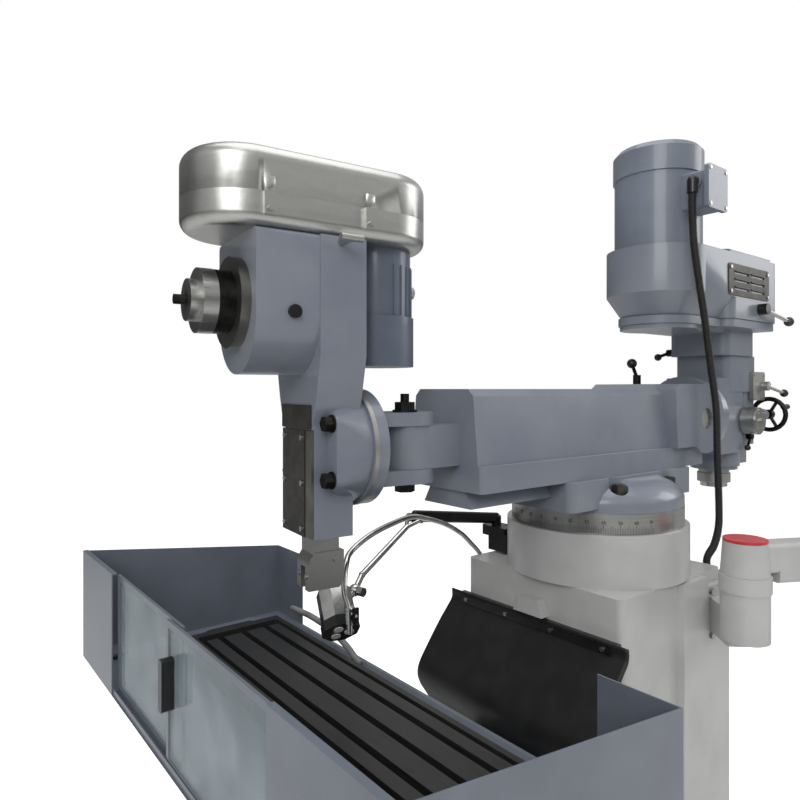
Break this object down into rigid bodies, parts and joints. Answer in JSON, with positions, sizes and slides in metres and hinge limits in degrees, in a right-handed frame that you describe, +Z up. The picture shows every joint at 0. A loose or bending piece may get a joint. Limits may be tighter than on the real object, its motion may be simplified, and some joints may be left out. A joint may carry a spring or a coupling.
{
  "type": "universal milling machine",
  "caption": "Knee milling machine whose swivelling ram carries a slotting head in front and a vertical milling head at the rear, with guarded table, pendant and lamp",
  "frame": {"origin": "on the floor under the axis of the turret", "axes": "+Z up, -Y toward the operator at the front of the table, +X to that operator's right"},
  "size_m": [1.6018, 1.965, 2.296],
  "materials": {
    "grey_paint": "gloss",
    "column_paint": "gloss",
    "light_paint": "gloss",
    "dark_paint": "satin",
    "cast_table": "ground",
    "steel": "brushed",
    "bright_steel": "polished",
    "dark_steel": "satin",
    "light_alloy": "satin",
    "light_alloy_dark": "satin",
    "black_rubber": "matt",
    "black_plastic": "satin",
    "clear_panel": "gloss",
    "green_plastic": "gloss",
    "red_plastic": "gloss"
  },
  "bodies": {
    "column": {"base_plinth": "grey_paint", "column_casting": "column_paint", "apron_strip": "dark_paint", "apron_sheet": "black_rubber", "electrical_cabinet": "light_paint", "pendant_bracket": "light_paint", "lamp_bracket": "black_plastic", "coolant_pipe": "bright_steel", "motor_cable": "black_rubber"},
    "knee": {"knee_casting": "grey_paint", "elevating_screw": "steel"},
    "knee_crank": {"knee_crank": "light_alloy_dark"},
    "saddle": {"saddle_casting": "grey_paint"},
    "cross_handwheel": {"cross_handwheel": "light_alloy"},
    "table": {"table": "cast_table", "splash_guard": "dark_paint", "drain_hose": "black_rubber"},
    "door_left": {"door_left": "clear_panel"},
    "door_right": {"door_right": "clear_panel"},
    "table_handwheels": {"table_handwheels": "light_alloy"},
    "turret": {"turret_casting": "grey_paint", "dial_ring": "steel", "turret_bolts": "dark_steel"},
    "ram_handle": {"ram_handle": "light_alloy_dark"},
    "ram": {"ram_casting": "grey_paint", "clevis_bolt": "steel"},
    "lock_lever": {"lock_lever": "dark_steel"},
    "adapter": {"head_adapter": "grey_paint"},
    "head": {"head_casting": "grey_paint", "gear_housing": "grey_paint", "belt_housing": "grey_paint", "vent_plate": "dark_steel", "motor_body": "light_paint", "terminal_box": "light_paint", "feed_plate": "steel", "spring_drum": "steel"},
    "quill": {"quill": "steel"},
    "spindle": {"spindle": "bright_steel"},
    "fine_feed_wheel": {"fine_feed_wheel": "light_alloy_dark"},
    "quill_lever": {"quill_lever": "light_alloy_dark"},
    "feed_selector": {"feed_selector": "dark_steel"},
    "brake_lever": {"brake_lever": "dark_steel"},
    "belt_crank": {"belt_crank": "steel"},
    "trip_lever": {"trip_lever": "dark_steel"},
    "slotter_adapter": {"slotter_adapter": "grey_paint"},
    "slotter": {"slotter_frame": "grey_paint", "slide_cover": "dark_steel", "belt_cover_bottom": "bright_steel", "belt_cover_top": "bright_steel", "slotter_motor": "light_paint", "slotter_bolts": "dark_steel"},
    "crank_dial": {"crank_dial": "steel"},
    "slotter_ram": {"slotter_ram": "steel"},
    "lamp_arm": {"lamp_arm": "black_plastic"},
    "lamp_rod": {"lamp_rod": "light_alloy"},
    "lamp_head": {"lamp_head": "light_alloy_dark"},
    "pendant_arm": {"pendant_arm": "light_paint"},
    "control_box": {"control_box": "light_paint"},
    "start_button": {"start_button": "green_plastic"},
    "stop_button": {"stop_button": "red_plastic"}
  },
  "joints": [
    {"name": "knee_lift", "type": "slide", "parent": "column", "child": "knee", "axis": [0, 0, 1], "range_m": [-0.3, 0.08], "deforming": ["apron_sheet"]},
    {"name": "knee_crank_turn", "type": "hinge", "parent": "knee", "child": "knee_crank", "pos_m": [-0.167, -0.9, 0.64], "axis": [1, 0, 0], "range_deg": [-8504.44, 2268.22]},
    {"name": "saddle_cross", "type": "slide", "parent": "knee", "child": "saddle", "axis": [0, 1, 0], "range_m": [-0.12, 0.1]},
    {"name": "cross_wheel_turn", "type": "hinge", "parent": "knee", "child": "cross_handwheel", "pos_m": [0, -1.078, 0.76], "axis": [0, 1, 0], "range_deg": [-8640.5, 7200.5]},
    {"name": "table_feed", "type": "slide", "parent": "saddle", "child": "table", "axis": [1, 0, 0], "range_m": [-0.18, 0.38]},
    {"name": "table_wheels_turn", "type": "hinge", "parent": "table", "child": "table_handwheels", "pos_m": [-0.147, -0.66, 0.872], "axis": [1, 0, 0], "range_deg": [-12960.5, 27360.5]},
    {"name": "door_left_slide", "type": "slide", "parent": "table", "child": "door_left", "axis": [1, 0, 0], "range_m": [0, 0.33]},
    {"name": "door_right_slide", "type": "slide", "parent": "table", "child": "door_right", "axis": [1, 0, 0], "range_m": [-0.33, 0]},
    {"name": "turret_swivel", "type": "hinge", "parent": "column", "child": "turret", "pos_m": [0, 0, 1.34], "axis": [0, 0, 1], "range_deg": [-90, 90], "deforming": ["motor_cable"]},
    {"name": "ram_slide", "type": "slide", "parent": "turret", "child": "ram", "axis": [0, 1, 0], "range_m": [-0.1, 0.3], "deforming": ["motor_cable"]},
    {"name": "ram_handle_turn", "type": "hinge", "parent": "turret", "child": "ram_handle", "pos_m": [-0.245, 0.04, 1.3917], "axis": [1, 0, 0], "range_deg": [-360.5, 1080.5]},
    {"name": "lock_lever_turn", "type": "hinge", "parent": "ram", "child": "lock_lever", "pos_m": [-0.09, 0.332, 1.67], "axis": [0, 0, 1], "range_deg": [-45, 45]},
    {"name": "head_nod", "type": "hinge", "parent": "ram", "child": "adapter", "pos_m": [0, 0.32, 1.561], "axis": [-1, 0, 0], "range_deg": [-15, 45], "deforming": ["motor_cable"]},
    {"name": "head_tilt", "type": "hinge", "parent": "adapter", "child": "head", "pos_m": [0, 0.459, 1.561], "axis": [0, 1, 0], "range_deg": [-90, 90], "deforming": ["motor_cable"]},
    {"name": "quill_feed", "type": "slide", "parent": "head", "child": "quill", "axis": [0, 0, 1], "range_m": [-0.127, 0]},
    {"name": "quill_lever_turn", "type": "hinge", "parent": "head", "child": "quill_lever", "pos_m": [-0.116, 0.65, 1.541], "axis": [1, 0, 0], "range_deg": [-291.56, 0.5]},
    {"name": "spindle_turn", "type": "hinge", "parent": "quill", "child": "spindle", "pos_m": [0, 0.61, 1.45], "axis": [0, 0, 1], "continuous": true},
    {"name": "fine_feed_turn", "type": "hinge", "parent": "head", "child": "fine_feed_wheel", "pos_m": [0.095, 0.771, 1.561], "axis": [0, 1, 0], "continuous": true},
    {"name": "feed_selector_turn", "type": "hinge", "parent": "head", "child": "feed_selector", "pos_m": [0.104, 0.725, 1.649], "axis": [1, 0, 0], "range_deg": [-10, 25]},
    {"name": "brake_lever_turn", "type": "hinge", "parent": "head", "child": "brake_lever", "pos_m": [-0.101, 0.54, 1.753], "axis": [1, 0, 0], "range_deg": [-25, 25]},
    {"name": "belt_crank_turn", "type": "hinge", "parent": "head", "child": "belt_crank", "pos_m": [0.15, 0.605, 1.872], "axis": [1, 0, 0], "range_deg": [-30, 30]},
    {"name": "trip_lever_turn", "type": "hinge", "parent": "head", "child": "trip_lever", "pos_m": [0.086, 0.661, 1.497], "axis": [1, 0, 0], "range_deg": [-25, 25]},
    {"name": "slotter_swing", "type": "hinge", "parent": "ram", "child": "slotter_adapter", "pos_m": [0, -0.612, 1.535], "axis": [0, 0, 1], "range_deg": [-24, 36]},
    {"name": "slotter_tilt", "type": "hinge", "parent": "slotter_adapter", "child": "slotter", "pos_m": [0, -0.612, 1.535], "axis": [-0.1045, -0.9945, 0], "range_deg": [-90, 90]},
    {"name": "crank_dial_turn", "type": "hinge", "parent": "slotter", "child": "crank_dial", "pos_m": [0, -0.612, 1.782], "axis": [-0.1045, -0.9945, 0], "continuous": true},
    {"name": "slotter_stroke", "type": "slide", "parent": "slotter", "child": "slotter_ram", "axis": [0, 0, 1], "range_m": [-0.1, 0]},
    {"name": "lamp_arm_swing", "type": "hinge", "parent": "column", "child": "lamp_arm", "pos_m": [-0.262, -0.08, 1.28], "axis": [0, 0, 1], "range_deg": [-35, 0]},
    {"name": "lamp_rod_lift", "type": "hinge", "parent": "lamp_arm", "child": "lamp_rod", "pos_m": [-0.287, -0.35, 1.314], "axis": [-0.9722, -0.2343, 0], "range_deg": [-10, 10]},
    {"name": "lamp_head_tilt", "type": "hinge", "parent": "lamp_rod", "child": "lamp_head", "pos_m": [-0.225, -0.575, 1.19], "axis": [-0.9722, -0.2343, 0], "range_deg": [-30, 30]},
    {"name": "pendant_swing", "type": "hinge", "parent": "column", "child": "pendant_arm", "pos_m": [0.33, 0.075, 1.27], "axis": [0, 0, 1], "range_deg": [-25, 60]},
    {"name": "box_swivel", "type": "hinge", "parent": "pendant_arm", "child": "control_box", "pos_m": [0.59031, 0.57082, 1], "axis": [0, 0, 1], "range_deg": [-90, 90]},
    {"name": "start_press", "type": "slide", "parent": "control_box", "child": "start_button", "axis": [0, 1, 0], "range_m": [0, 0.004], "stiffness_N_per_m": 400},
    {"name": "stop_press", "type": "slide", "parent": "control_box", "child": "stop_button", "axis": [0, 1, 0], "range_m": [0, 0.004], "stiffness_N_per_m": 400}
  ],
  "couplings": [
    {"joint": "knee_crank_turn", "follows": "knee_lift", "rad_per_m": 494.74},
    {"joint": "cross_wheel_turn", "follows": "saddle_cross", "rad_per_m": 1256.6},
    {"joint": "table_wheels_turn", "follows": "table_feed", "rad_per_m": 1256.6},
    {"joint": "ram_handle_turn", "follows": "ram_slide", "rad_per_m": 62.832},
    {"joint": "quill_lever_turn", "follows": "quill_feed", "rad_per_m": 40}
  ]
}
